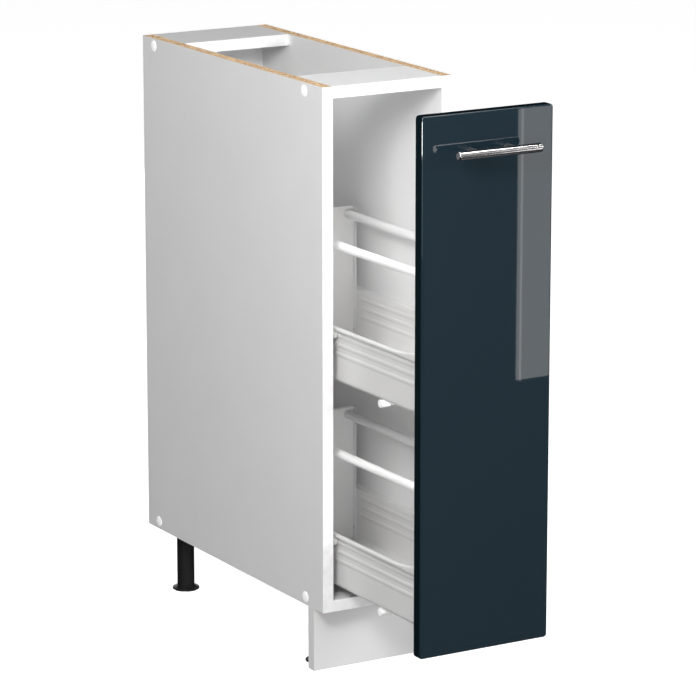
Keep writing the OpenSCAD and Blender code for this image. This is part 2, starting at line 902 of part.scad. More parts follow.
// Rivets through the tray walls and the flanges of the tray ends
module tray_rivets() {
    inside = wall_x - sheet_t;
    tail_d = rivet_d + 2 * rivet_tail_out;
    color("silver") placed()
        for (side = [LEFT, RIGHT], level = [LOWER, UPPER], y = rivet_y())
            on_side(side) translate([0, 0, tray_z(level)]) {
                rod_x(-tray_x - rivet_head_h, -tray_x, y, rivet_z, rivet_head_d);
                rod_x(-tray_x, -inside, y, rivet_z, rivet_d);
                rod_x(-inside, -inside + rivet_head_h, y, rivet_z, tail_d);
            }
}

// Puts its child at every bracket screw, at the face of the front panel's rear
module each_bracket_screw() {
    for (side = [LEFT, RIGHT], level = [LOWER, UPPER], z = bracket_levels)
        on_side(side) translate([-tray_x + bracket_side, front_back, tray_z(level) + z])
            children();
}

// Screws that hold the front brackets on the front panel
module bracket_screws() {
    color("silver") placed() each_bracket_screw() {
        rod_y(0, -bracket_screw_l, sheet_t, 0, bracket_screw_d);
        rod_y(0, sheet_t, sheet_t + pan_h, 0, bracket_screw_d + 2 * pan_extra);
    }
}

// Round rail between the front bracket and the rear end of a basket
module rail(side, level) {
    y0 = tray_front + sheet_t;
    y1 = tray_rear - sheet_t;
    color("white") placed() on_side(side) translate([0, 0, tray_z(level)]) difference() {
        rod_y(-rail_x, y0, y1, rail_z, rail_d);
        rod_y(-rail_x, y1 - rail_thread_l - screw_core, y1 + cut, rail_z,
              handle_screw_d + 2 * hole_play);
    }
}

module upper_left_rail() {
    rail(LEFT, UPPER);
}

module upper_right_rail() {
    rail(RIGHT, UPPER);
}

module lower_left_rail() {
    rail(LEFT, LOWER);
}

module lower_right_rail() {
    rail(RIGHT, LOWER);
}

// Screws through the rear ends into the rails
module rail_screws() {
    color("silver") placed() for (side = [LEFT, RIGHT], level = [LOWER, UPPER])
        on_side(side) translate([0, 0, tray_z(level)]) {
            rod_y(-rail_x, tray_rear - sheet_t - rail_thread_l, tray_rear, rail_z,
                  handle_screw_d);
            rod_y(-rail_x, tray_rear, tray_rear + pan_h, rail_z,
                  handle_screw_d + 2 * pan_extra);
        }
}

// Plastic catches under the tray floors: a tongue forwards and a round head
module tray_catches() {
    x0 = -tray_x + tray_round;
    head_z = -catch_d / 2;
    color("white") placed() for (side = [LEFT, RIGHT], level = [LOWER, UPPER])
        on_side(side) translate([0, 0, tray_z(level)]) {
            block([x0, catch_y - catch_tongue, -catch_tongue_t], [x0 + catch_w, catch_y, 0]);
            rod_x(x0 - catch_out, x0 + catch_w, catch_y, head_z, catch_d);
        }
}

left_side_panel();
right_side_panel();
bottom_panel();
front_top_rail();
rear_top_rail();
back_panel();
front_edging();
carcass_screws();
cover_caps();
plinth_panel();
plinth_clips();
front_left_leg();
front_right_leg();
rear_left_leg();
rear_right_leg();
front_left_foot();
front_right_foot();
rear_left_foot();
rear_right_foot();
upper_left_runner();
upper_right_runner();
lower_left_runner();
lower_right_runner();
runner_screws();
front_roller_pins();
upper_left_front_roller();
upper_right_front_roller();
lower_left_front_roller();
lower_right_front_roller();
front_panel();
front_buffers();
handle_bar();
handle_posts();
handle_screws();
upper_tray();
lower_tray();
upper_rear_end();
lower_rear_end();
upper_front_bracket();
lower_front_bracket();
bracket_screws();
tray_rivets();
upper_left_rail();
upper_right_rail();
lower_left_rail();
lower_right_rail();
rail_screws();
tray_catches();
rear_roller_pins();
upper_left_rear_roller();
upper_right_rear_roller();
lower_left_rear_roller();
lower_right_rear_roller();
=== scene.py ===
"""Looks of a narrow pull-out larder unit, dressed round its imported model.

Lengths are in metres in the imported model's own frame: X to the right, Y to the rear, Z up. The front
stands pulled out towards -Y. Every piece rides on one of the model's bodies, so it moves as the real
one does.
"""

from __future__ import annotations

import json
import logging
import math
from dataclasses import dataclass
from enum import Enum
from typing import Callable, Mapping, Protocol, Sequence, Union

import bmesh
import bpy
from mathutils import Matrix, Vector

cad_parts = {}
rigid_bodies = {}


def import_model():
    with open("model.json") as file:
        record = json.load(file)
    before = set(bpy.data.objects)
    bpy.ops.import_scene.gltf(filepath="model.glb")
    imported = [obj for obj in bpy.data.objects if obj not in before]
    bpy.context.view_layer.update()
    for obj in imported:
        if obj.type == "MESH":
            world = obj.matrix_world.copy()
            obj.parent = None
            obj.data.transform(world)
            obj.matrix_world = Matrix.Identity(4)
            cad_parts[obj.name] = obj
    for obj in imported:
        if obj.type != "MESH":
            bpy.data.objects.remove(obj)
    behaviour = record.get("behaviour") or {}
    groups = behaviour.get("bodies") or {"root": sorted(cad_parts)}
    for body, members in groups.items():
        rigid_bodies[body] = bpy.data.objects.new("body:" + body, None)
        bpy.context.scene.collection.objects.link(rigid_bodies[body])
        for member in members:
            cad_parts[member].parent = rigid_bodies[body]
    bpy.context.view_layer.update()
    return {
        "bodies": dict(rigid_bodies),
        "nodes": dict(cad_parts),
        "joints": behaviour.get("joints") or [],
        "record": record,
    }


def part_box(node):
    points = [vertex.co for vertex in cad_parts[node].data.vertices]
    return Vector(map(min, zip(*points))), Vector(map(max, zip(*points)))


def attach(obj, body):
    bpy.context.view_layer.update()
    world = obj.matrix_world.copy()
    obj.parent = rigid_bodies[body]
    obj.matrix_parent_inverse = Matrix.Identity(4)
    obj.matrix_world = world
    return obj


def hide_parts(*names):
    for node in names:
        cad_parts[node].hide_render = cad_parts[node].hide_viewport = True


LOG = logging.getLogger("larder_unit")
MM = 0.001
ON_PLANE = 0.05 * MM  # how near a corner is to a plane that it counts as on

Point = tuple[float, float, float]
Flat = tuple[float, float]
Profile = Sequence[Flat]
Colour = tuple[float, float, float]


# --- Shader graphs ------------------------------------------------------------


class Wire:
    """One socket of a shader graph, for use in plain arithmetic."""

    def __init__(self, graph: "Graph", socket: bpy.types.NodeSocket) -> None:
        """Keeps the graph and the output socket."""
        self.graph = graph
        self.socket = socket

    def _math(self, operation: str, first: "Value", second: "Value") -> "Wire":
        """Adds one Math node and returns its result."""
        return self.graph.node("ShaderNodeMath", {"operation": operation}, {0: first, 1: second})

    def __add__(self, other: "Value") -> "Wire":
        """Sum."""
        return self._math("ADD", self, other)

    def __radd__(self, other: "Value") -> "Wire":
        """Sum with a number on the left."""
        return self._math("ADD", other, self)

    def __sub__(self, other: "Value") -> "Wire":
        """Difference."""
        return self._math("SUBTRACT", self, other)

    def __rsub__(self, other: "Value") -> "Wire":
        """Difference with a number on the left."""
        return self._math("SUBTRACT", other, self)

    def __mul__(self, other: "Value") -> "Wire":
        """Product."""
        return self._math("MULTIPLY", self, other)

    def __rmul__(self, other: "Value") -> "Wire":
        """Product with a number on the left."""
        return self._math("MULTIPLY", other, self)

    def __gt__(self, other: "Value") -> "Wire":
        """1 where this is greater, 0 elsewhere."""
        return self._math("GREATER_THAN", self, other)

    def __abs__(self) -> "Wire":
        """Distance from zero."""
        return self._math("ABSOLUTE", self, 0.0)


Value = Union[Wire, float, Colour]


class Graph:
    """A node tree in the making."""

    MIX_COLOUR_SOCKETS = (0, 6, 7)
    MIX_COLOUR_RESULT = 2
    TINT_PLACES = (0.3, 0.7)

    def __init__(self, tree: bpy.types.NodeTree) -> None:
        """Keeps the tree that takes the nodes."""
        self.tree = tree

    def _feed(self, socket: bpy.types.NodeSocket, value: Value) -> None:
        """Links a wire to a socket, or sets the socket's own value.

        Args:
            socket: the input that takes the value.
            value: a wire, a number or a colour.
        """
        if isinstance(value, Wire):
            self.tree.links.new(value.socket, socket)
        elif isinstance(value, tuple) and socket.type == "RGBA":
            socket.default_value = (*value, 1.0)
        else:
            socket.default_value = value

    def node(
        self,
        kind: str,
        settings: Mapping[str, object] | None = None,
        sockets: Mapping[Union[str, int], Value] | None = None,
        output: Union[str, int] = 0,
    ) -> Wire:
        """Adds one node.

        Args:
            kind: Blender's name for the node's type.
            settings: the node's own properties, set first; "stops" is a ramp's list of (place, colour).
            sockets: numbers, colours or wires for the inputs, by name or number.
            output: the output that is wanted, by name or number.

        Returns:
            The wire of that output.
        """
        made = self.tree.nodes.new(kind)
        for name, value in (settings or {}).items():
            if name == "stops":
                self._set_stops(made.color_ramp, value)
            else:
                setattr(made, name, value)
        for name, value in (sockets or {}).items():
            self._feed(made.inputs[name], value)
        return Wire(self, made.outputs[output])

    @staticmethod
    def _set_stops(ramp: bpy.types.ColorRamp, stops: Sequence[tuple[float, Colour]]) -> None:
        """Gives a colour ramp its stops.

        Args:
            ramp: the ramp.
            stops: places with their colours, from the first place to the last.
        """
        while len(ramp.elements) < len(stops):
            ramp.elements.new(0.5)
        for element, (place, colour) in zip(ramp.elements, stops):
            element.position = place
            element.color = (*colour, 1.0)

    def place(self) -> Wire:
        """The point's place in the model's frame, as a vector."""
        return self.node("ShaderNodeTexCoord", output="Object")

    def along(self, axis: int) -> Wire:
        """The point's coordinate along one axis, 0 for X, 1 for Y, 2 for Z."""
        return self.node("ShaderNodeSeparateXYZ", sockets={0: self.place()}, output=axis)

    def grains(self, size: Point) -> Wire:
        """The point's place counted in grains of the given size along each axis."""
        counts = tuple(1.0 / length for length in size)
        return self.node("ShaderNodeVectorMath", {"operation": "MULTIPLY"}, {0: self.place(), 1: counts})

    def noise(self, size: Point, detail: float = 2.0) -> Wire:
        """Smooth noise from 0 to 1.

        Args:
            size: how long one wave is along each axis.
            detail: how many finer layers are added.

        Returns:
            The noise's value.
        """
        sockets = {"Vector": self.grains(size), "Scale": 1.0, "Detail": detail}
        return self.node("ShaderNodeTexNoise", sockets=sockets)

    def cells(self, size: Point) -> Wire:
        """A random colour for each cell of the given size along each axis."""
        sockets = {"Vector": self.grains(size), "Scale": 1.0}
        return self.node("ShaderNodeTexVoronoi", sockets=sockets, output="Color")

    def ramp(self, value: Wire, stops: Sequence[tuple[float, Colour]]) -> Wire:
        """The colour that a value has on a ramp with those stops."""
        return self.node("ShaderNodeValToRGB", {"stops": stops}, {0: value})

    def tinted(self, noise: Wire, colour: Colour, tint: tuple[float, float]) -> Wire:
        """A colour that noise varies.

        Args:
            noise: the noise, from 0 to 1.
            colour: the middle colour.
            tint: the factors of the darkest and the lightest shade.

        Returns:
            The varied colour.
        """
        return self.ramp(noise, [(place, shade(colour, by)) for place, by in zip(self.TINT_PLACES, tint)])

    def mix(self, factor: Value, first: Value, second: Value) -> Wire:
        """Blends two colours, from the first at factor 0 to the second at 1."""
        sockets = dict(zip(self.MIX_COLOUR_SOCKETS, (factor, first, second)))
        return self.node("ShaderNodeMix", {"data_type": "RGBA"}, sockets, self.MIX_COLOUR_RESULT)

    def bump(self, height: Wire, depth: float) -> Wire:
        """The surface's normal over small hills of that height in metres."""
        return self.node("ShaderNodeBump", sockets={"Height": height, "Distance": depth})


class Coat(Graph):
    """A material's node tree that ends in one Principled shader."""

    def __init__(self, name: str) -> None:
        """Makes the material and finds its shader.

        Args:
            name: the material's name.
        """
        self.material = bpy.data.materials.new(name)
        self.material.use_nodes = True
        super().__init__(self.material.node_tree)
        self.shader = next(n for n in self.tree.nodes if n.type == "BSDF_PRINCIPLED")

    def done(self, **sockets: Value) -> bpy.types.Material:
        """Feeds the shader.

        Args:
            sockets: values of the shader's inputs, with _ for the spaces in their names.

        Returns:
            The finished material.
        """
        for name, value in sockets.items():
            self._feed(self.shader.inputs[name.replace("_", " ")], value)
        return self.material


def cube(size: float) -> Point:
    """The same size along all three axes."""
    return (size, size, size)


def shade(colour: Colour, factor: float) -> Colour:
    """A colour made lighter or darker by one factor."""
    red, green, blue = colour
    return (red * factor, green * factor, blue * factor)


# --- Finishes -------------------------------------------------------------------


class Finish(Protocol):
    """Anything that can make a material, and names the record's slot for it."""

    slot: str

    def material(self) -> bpy.types.Material:
        """Makes the material."""


@dataclass(frozen=True)
class Laminate:
    """White melamine with a faint pearl texture."""

    slot: str = "white_laminate"
    colour: Colour = (0.725, 0.725, 0.725)
    roughness: float = 0.38
    pearl: float = 0.9 * MM
    pearl_depth: float = 0.02 * MM
    cloud: float = 90 * MM
    tint: tuple[float, float] = (0.985, 1.01)
    swing: float = 0.06

    def material(self) -> bpy.types.Material:
        """Makes the material.

        Returns:
            The material.
        """
        graph = Coat(self.slot)
        cloud = graph.noise(cube(self.cloud), 3.0)
        fine = graph.noise(cube(self.pearl), 3.0)
        return graph.done(
            Base_Color=graph.tinted(cloud, self.colour, self.tint),
            Roughness=self.roughness + self.swing * fine,
            Normal=graph.bump(fine, self.pearl_depth),
        )


@dataclass(frozen=True)
class Chipboard:
    """Bare edge of a laminated chipboard: pressed chips between two white skins."""

    axis: int
    middle: float
    thickness: float
    slot: str = "white_laminate"
    skin: float = 0.35 * MM
    skin_colour: Colour = (0.86, 0.86, 0.86)
    pale: Colour = (0.66, 0.47, 0.27)
    dark: Colour = (0.20, 0.10, 0.045)
    glare: float = 1.15
    core_share: float = 0.27
    coarse_chip: tuple[float, float] = (1.1 * MM, 4.5 * MM)
    fine_chip: tuple[float, float] = (0.45 * MM, 1.6 * MM)
    fibre: float = 0.5 * MM
    relief: float = 0.12 * MM
    roughness: float = 0.72
    swing: float = 0.2

    def _chip(self, flat: float, long: float) -> Point:
        """Size of a chip that lies flat in the board."""
        return tuple(flat if axis == self.axis else long for axis in range(3))

    def material(self) -> bpy.types.Material:
        """Makes the material.

        Returns:
            The material.
        """
        graph = Coat("bare_edge")
        depth = abs(graph.along(self.axis) - self.middle)
        coarse = graph.cells(self._chip(*self.coarse_chip))
        fine = graph.cells(self._chip(*self.fine_chip))
        core = depth > self.thickness * self.core_share
        chips = graph.mix(core, coarse, fine)
        tone = graph.node("ShaderNodeSeparateColor", sockets={0: chips})
        middle = tuple((a + b) / 2 for a, b in zip(self.pale, self.dark))
        stops = [(0.0, self.dark), (0.35, middle), (0.65, self.pale), (1.0, shade(self.pale, self.glare))]
        wood = graph.ramp(tone, stops)
        skin = depth > self.thickness / 2 - self.skin
        rough = graph.noise(cube(self.fibre), 4.0)
        return graph.done(
            Base_Color=graph.mix(skin, wood, self.skin_colour),
            Roughness=self.roughness + self.swing * rough,
            Normal=graph.bump(tone + rough, self.relief),
        )


@dataclass(frozen=True)
class Plastic:
    """Moulded plastic with a fine grain. Its glow, where set, is painted light: the part glows though it is
    no lamp.
    """

    slot: str
    colour: Colour
    roughness: float = 0.42
    grain: float = 0.6 * MM
    grain_depth: float = 0.015 * MM
    # glow: painted light, an emission that brightens the plastic though it is no lamp
    glow: float = 0.0
    patch: float = 14 * MM
    tint: tuple[float, float] = (0.94, 1.04)
    swing: float = 0.14

    def material(self) -> bpy.types.Material:
        """Makes the material.

        Returns:
            The material.
        """
        graph = Coat(self.slot)
        grain = graph.noise(cube(self.grain), 3.0)
        patch = graph.noise(cube(self.patch), 2.0)
        return graph.done(
            Base_Color=graph.tinted(patch, self.colour, self.tint),
            Roughness=self.roughness + self.swing * (grain - 0.5),
            Normal=graph.bump(grain, self.grain_depth),
            # the emission paints light onto the plastic
            Emission_Color=self.colour,
            Emission_Strength=self.glow,
        )


@dataclass(frozen=True)
class PowderCoat:
    """Satin white powder coat with its faint orange peel."""

    slot: str = "white_steel"
    colour: Colour = (0.675, 0.67, 0.665)
    roughness: float = 0.3
    peel: float = 1.3 * MM
    peel_depth: float = 0.018 * MM
    cloud: float = 60 * MM
    tint: tuple[float, float] = (0.98, 1.015)
    swing: float = 0.08

    def material(self) -> bpy.types.Material:
        """Makes the material.

        Returns:
            The material.
        """
        graph = Coat(self.slot)
        peel = graph.noise(cube(self.peel), 1.5)
        cloud = graph.noise(cube(self.cloud), 2.0)
        return graph.done(
            Base_Color=graph.tinted(cloud, self.colour, self.tint),
            Roughness=self.roughness + self.swing * peel,
            Normal=graph.bump(peel, self.peel_depth),
        )


@dataclass(frozen=True)
class GlossLacquer:
    """Very dark blue lacquer, polished to a mirror."""

    slot: str = "dark_gloss_front"
    colour: Colour = (0.0108, 0.0222, 0.0316)
    roughness: float = 0.012
    ripple: float = 26 * MM
    ripple_depth: float = 0.003 * MM
    flake: float = 0.35 * MM
    tint: tuple[float, float] = (0.9, 1.12)
    swing: float = 0.006

    def material(self) -> bpy.types.Material:
        """Makes the material.

        Returns:
            The material.
        """
        graph = Coat(self.slot)
        flake = graph.noise(cube(self.flake), 2.0)
        ripple = graph.noise(cube(self.ripple), 1.0)
        return graph.done(
            Base_Color=graph.tinted(flake, self.colour, self.tint),
            Roughness=self.roughness + self.swing * flake,
            Normal=graph.bump(ripple, self.ripple_depth),
            Specular_IOR_Level=0.5,
        )


@dataclass(frozen=True)
class Metal:
    """Bare or plated metal with fine marks and faint blotches."""

    slot: str
    colour: Colour
    roughness: float
    marks: Point
    mark_depth: float = 0.004 * MM
    blotch: float = 0.04
    blotch_size: float = 3.5 * MM
    swing: float = 0.12

    def material(self) -> bpy.types.Material:
        """Makes the material.

        Returns:
            The material.
        """
        graph = Coat(self.slot)
        marks = graph.noise(self.marks, 3.0)
        blotch = graph.noise(cube(self.blotch_size), 2.0)
        return graph.done(
            Base_Color=graph.tinted(blotch, self.colour, (1 - self.blotch, 1 + self.blotch)),
            Metallic=1.0,
            Roughness=self.roughness + self.swing * (marks - 0.5),
            Normal=graph.bump(marks, self.mark_depth),
        )


@dataclass(frozen=True)
class Hardboard:
    """Thin lacquered fibre board."""

    slot: str = "thin_board"
    colour: Colour = (0.93, 0.925, 0.925)
    roughness: float = 0.5
    fibre: Point = (0.7 * MM, 0.7 * MM, 2.4 * MM)
    fibre_depth: float = 0.02 * MM
    tint: tuple[float, float] = (0.96, 1.02)
    swing: float = 0.1

    def material(self) -> bpy.types.Material:
        """Makes the material.

        Returns:
            The material.
        """
        graph = Coat(self.slot)
        fibre = graph.noise(self.fibre, 4.0)
        return graph.done(
            Base_Color=graph.tinted(fibre, self.colour, self.tint),
            Roughness=self.roughness + self.swing * fibre,
            Normal=graph.bump(fibre, self.fibre_depth),
        )


# A darker copy of the white laminate for the rear top rail: painted shade.
REAR_RAIL_PAINTED_SHADE_LAMINATE = Laminate(colour=(0.56, 0.56, 0.56))
WHITE_EDGING = Plastic("white_edging", (0.90, 0.90, 0.90), 0.32, 1.2 * MM, 0.006 * MM)
# The caps and tray catches glow a little: painted light that brightens them.
WHITE_PLASTIC = Plastic("white_plastic", (0.95, 0.95, 0.95), 0.26, glow=0.12)
# Lit and shaded copies of the one white powder coat. The near rails are painted lighter and the ends a little
# lighter than the trays, as painted light. The far rails are darker than the near ones, as painted shade.
NEAR_RAIL_PAINTED_LIGHT_COAT = PowderCoat("white_steel", (0.88, 0.877, 0.873), 0.26)
FAR_RAIL_PAINTED_SHADE_COAT = PowderCoat("white_steel", (0.74, 0.737, 0.734), 0.26)
END_COAT = PowderCoat("white_steel", (0.74, 0.736, 0.732))
WHITE_NYLON = Plastic("white_nylon", (0.84, 0.84, 0.82), 0.36)
BLACK_PLASTIC = Plastic("black_plastic", (0.011, 0.011, 0.011), 0.42, 0.7 * MM, 0.03 * MM)
CLEAR_RUBBER = Plastic("clear_rubber", (0.72, 0.73, 0.73), 0.3)
ZINC = Metal("zinc_steel", (0.66, 0.66, 0.64), 0.32, cube(0.5 * MM), blotch=0.08)
POLISHED = Metal("polished_steel", (0.70, 0.68, 0.69), 0.13, (9 * MM, 0.12 * MM, 0.12 * MM))
# A darker, rougher copy of the bar's polished steel for the posts: the darker tone is painted shade.
POST_PAINTED_SHADE_STEEL = Metal("polished_steel", (0.50, 0.49, 0.50), 0.36, cube(0.3 * MM))
# A near-black copy of the front's lacquer for the panel's top, sides and bottom: painted shade.
RIM_PAINTED_SHADE_LACQUER = GlossLacquer(colour=(0.004, 0.009, 0.012))


# --- Meshes ---------------------------------------------------------------------


class Shape:
    """A mesh in the making, in the model's frame."""

    WELD = 1e-6
    FLAT_DEGREES = 0.4
    ROUNDED_OVER_DEGREES = 35.0

    def __init__(self, frame: Mapping[str, object]) -> None:
        """Starts an empty mesh."""
        self.frame = frame
        self.mesh = bmesh.new()

    def take(self, node: str) -> "Shape":
        """Adds a copy of a CAD node's surface, with its flat faces whole again.

        Args:
            node: the node's name.

        Returns:
            The same shape.
        """
        self.mesh.from_mesh(self.frame["nodes"][node].data)
        bmesh.ops.remove_doubles(self.mesh, verts=self.mesh.verts, dist=self.WELD)
        flat = math.radians(self.FLAT_DEGREES)
        bmesh.ops.dissolve_limit(self.mesh, angle_limit=flat, verts=self.mesh.verts, edges=self.mesh.edges)
        return self

    def reshape(self, rule: Callable[[Vector], Vector]) -> "Shape":
        """Puts every corner where a rule says.

        Args:
            rule: gives a corner's new place for its old one.

        Returns:
            The same shape.
        """
        for corner in self.mesh.verts:
            corner.co = rule(corner.co)
        return self

    def loft(self, sections: Sequence[Sequence[Point]]) -> "Shape":
        """Joins closed sections of equal length into one skin with closed ends.

        Args:
            sections: the corners of each section, from one end to the other.

        Returns:
            The same shape.
        """
        rings = [[self.mesh.verts.new(point) for point in section] for section in sections]
        made = [self.mesh.faces.new(rings[0]), self.mesh.faces.new(rings[-1])]
        for ring, following in zip(rings, rings[1:]):
            for here, onward in zip(range(len(ring)), (*range(1, len(ring)), 0)):
                corners = (ring[here], ring[onward], following[onward], following[here])
                made.append(self.mesh.faces.new(corners))
        bmesh.ops.recalc_face_normals(self.mesh, faces=made)
        return self

    def turn(self, outline: Profile, centre: Point, axis: int, steps: int) -> "Shape":
        """Turns an outline round an axis.

        Args:
            outline: places along the axis with their radii.
            centre: the point that the places are counted from.
            axis: the axis's number.
            steps: facets round the axis.

        Returns:
            The same shape.
        """
        across, up = (axis + 1) % 3, (axis + 2) % 3
        rings = []
        for along, radius in outline:
            ring = []
            for step in range(steps):
                angle = math.tau * step / steps
                point = list(centre)
                point[axis] += along
                point[across] += radius * math.cos(angle)
                point[up] += radius * math.sin(angle)
                ring.append(tuple(point))
            rings.append(ring)
        return self.loft(rings)

    def soften(self, width: float, steps: int = 2) -> "Shape":
        """Rounds the edges where two faces meet at a clear angle.

        Args:
            width: how far the rounding reaches on each face.
            steps: facets across the rounding.

        Returns:
            The same shape.
        """
        over = math.radians(self.ROUNDED_OVER_DEGREES)
        edges = [
            edge for edge in self.mesh.edges if len(edge.link_faces) == 2 and edge.calc_face_angle(0.0) > over
        ]
        bmesh.ops.bevel(
            self.mesh, geom=edges, offset=width, offset_type="OFFSET", segments=steps, profile=0.5,
            affect="EDGES", clamp_overlap=True,
        )
        return self

    def piece(
        self, name: str, body: str, finishes: Sequence[Finish], nodes: Sequence[str], sharp: float = 40.0
    ) -> bpy.types.Object:
        """Turns the mesh into a piece of the object.

        Args:
            name: the piece's name.
            body: the body that it rides on.
            finishes: one finish per material number of the faces.
            nodes: the CAD nodes that it stands for.
            sharp: the angle above which an edge stays sharp, in degrees.

        Returns:
            The piece.
        """
        for face in self.mesh.faces:
            face.smooth = True
        for edge in self.mesh.edges:
            edge.smooth = edge.calc_face_angle(math.pi) < math.radians(sharp)
        data = bpy.data.meshes.new(name)
        self.mesh.to_mesh(data)
        self.mesh.free()
        made = bpy.data.objects.new(name, data)
        bpy.context.scene.collection.objects.link(made)
        for finish in finishes:
            data.materials.append(material_of(finish))
        weigh = made.modifiers.new("flat_faces_stay_flat", "WEIGHTED_NORMAL")
        weigh.keep_sharp = True
        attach(made, body)
        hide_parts(*nodes)
        LOG.info("made %s on %s", name, body)
        return made


_MADE: dict[Finish, bpy.types.Material] = {}


def material_of(finish: Finish) -> bpy.types.Material:
    """The finish's material, made once."""
    if finish not in _MADE:
        _MADE[finish] = finish.material()
    return _MADE[finish]


# --- Sub-assemblies -----------------------------------------------------------


@dataclass
class Assembly:
    """What every sub-assembly has: the frame and the body that it rides on."""

    frame: Mapping[str, object]
    body: str = "carcass"

    def soft_copy(self, node: str, finish: Finish, width: float, steps: int = 2) -> bpy.types.Object:
        """Stands a copy of a node with softened edges in its place."""
        shape = Shape(self.frame).take(node).soften(width, steps)
        return shape.piece(f"{node}_piece", self.body, [finish], [node])


@dataclass
class Carcass(Assembly):
    """Boards, back, edging, screws and caps."""

    arris: float = 0.35 * MM

    BOARDS = {
        "left_side_panel": 0,
        "right_side_panel": 0,
        "bottom_panel": 2,
        "front_top_rail": 2,
        "rear_top_rail": 2,
    }
    EDGED_ON_BOTH_SIDES = ("front_top_rail", "rear_top_rail")
    CHIPS, EDGING = 1, 2  # the material numbers of a board's edges
    FACING = 0.5

    def _board(self, node: str, axis: int) -> None:
        """Makes one board, with laminate on its faces and chips or edging on its edges.

        Args:
            node: the board's CAD node.
            axis: the axis of its thickness.
        """
        low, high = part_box(node)
        shape = Shape(self.frame).take(node).soften(self.arris)
        bare = Chipboard(axis, (low[axis] + high[axis]) / 2, high[axis] - low[axis])
        for face in shape.mesh.faces:
            if abs(face.normal[axis]) < self.FACING:
                edged = node in self.EDGED_ON_BOTH_SIDES and abs(face.normal.y) > self.FACING
                face.material_index = self.EDGING if edged else self.CHIPS
        # the rear top rail takes the darker laminate, painted shade
        skin = REAR_RAIL_PAINTED_SHADE_LAMINATE if node == "rear_top_rail" else Laminate()
        shape.piece(f"{node}_piece", self.body, [skin, bare, WHITE_EDGING], [node])

    def build(self) -> None:
        """Makes every piece."""
        for node, axis in self.BOARDS.items():
            self._board(node, axis)
        self.soft_copy("back_panel", Hardboard(), 0.2 * MM)
        self.soft_copy("front_edging", WHITE_EDGING, 0.3 * MM, 3)
        # the caps glow a little: painted light
        self.soft_copy("cover_caps", WHITE_PLASTIC, 0.1 * MM)
        self.soft_copy("carcass_screws", ZINC, 0.1 * MM)


@dataclass
class Base(Assembly):
    """Legs, feet, plinth and its clips."""

    CORNERS = ("front_left", "front_right", "rear_left", "rear_right")

    def build(self) -> None:
        """Makes every piece."""
        self.soft_copy("plinth_panel", Laminate(), 0.4 * MM)
        self.soft_copy("plinth_clips", BLACK_PLASTIC, 0.3 * MM)
        for corner in self.CORNERS:
            self.soft_copy(f"{corner}_leg", BLACK_PLASTIC, 0.3 * MM)
            foot = f"{corner}_foot"
            shape = Shape(self.frame).take(foot).soften(0.25 * MM)
            shape.piece(f"{foot}_piece", foot, [BLACK_PLASTIC], [foot])


@dataclass
class Runners(Assembly):
    """Runner channels, rollers and pins."""

    tread_radius: float = 5.5 * MM
    hub_radius: float = 3.6 * MM
    rib_room: float = 0.8 * MM
    track_height: float = 59.6 * MM
    track_lift: float = 1.0 * MM
    head_face: float = 70.2 * MM
    head_shift: float = 0.75 * MM

    def _roller(self, node: str) -> None:
        """Makes one roller, with a tread as slim as the photograph shows.

        Args:
            node: the roller's CAD node.
        """
        low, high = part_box(node)
        middle = (low + high) / 2
        tread = (high.z - low.z) / 2
        outside = high.x if middle.x > 0 else low.x
        narrow = 1 - self.rib_room / (high.x - low.x)

        def slim(corner: Vector) -> Vector:
            """Draws the tread towards the hub and the inner face away from the tray's ribs.

            Args:
                corner: a corner of the roller.

            Returns:
                Its new place.
            """
            arm = Vector((corner.y - middle.y, corner.z - middle.z))
            if arm.length > self.hub_radius:
                share = (arm.length - self.hub_radius) / (tread - self.hub_radius)
                arm *= (self.hub_radius + share * (self.tread_radius - self.hub_radius)) / arm.length
            across = outside + (corner.x - outside) * narrow
            return Vector((across, middle.y + arm.x, middle.z + arm.y))

        shape = Shape(self.frame).take(node).reshape(slim).soften(0.12 * MM)
        shape.piece(f"{node}_piece", node, [WHITE_NYLON], [node])

    def _runner(self, node: str, underside: float) -> None:
        """Makes one runner, with its track lifted to the slim roller.

        Args:
            node: the runner's CAD node.
            underside: the height of the tray's underside.
        """

        def lift(corner: Vector) -> Vector:
            """Lifts the corners of the track's top."""
            on_track = abs(corner.z - underside - self.track_height) < ON_PLANE
            return corner + Vector((0.0, 0.0, self.track_lift)) if on_track else corner

        shape = Shape(self.frame).take(node).reshape(lift).soften(0.3 * MM)
        shape.piece(f"{node}_piece", self.body, [PowderCoat()], [node])

    def _pins(self) -> None:
        """Makes the front rollers' pins, with heads clear of the trays' ribs."""

        def draw_out(corner: Vector) -> Vector:
            """Moves a head's corners away from the tray.

            Args:
                corner: a corner of a pin.

            Returns:
                Its new place.
            """
            if abs(corner.x) >= self.head_face + self.head_shift:
                return corner
            return corner + Vector((math.copysign(self.head_shift, corner.x), 0.0, 0.0))

        shape = Shape(self.frame).take("front_roller_pins").reshape(draw_out).soften(0.1 * MM)
        shape.piece("front_roller_pins_piece", self.body, [ZINC], ["front_roller_pins"])

    def build(self) -> None:
        """Makes every piece."""
        for level in ("upper", "lower"):
            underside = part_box(f"{level}_tray")[0].z
            for side in ("left", "right"):
                self._runner(f"{level}_{side}_runner", underside)
                for end in ("front", "rear"):
                    self._roller(f"{level}_{side}_{end}_roller")
        self.soft_copy("runner_screws", ZINC, 0.2 * MM)
        self._pins()


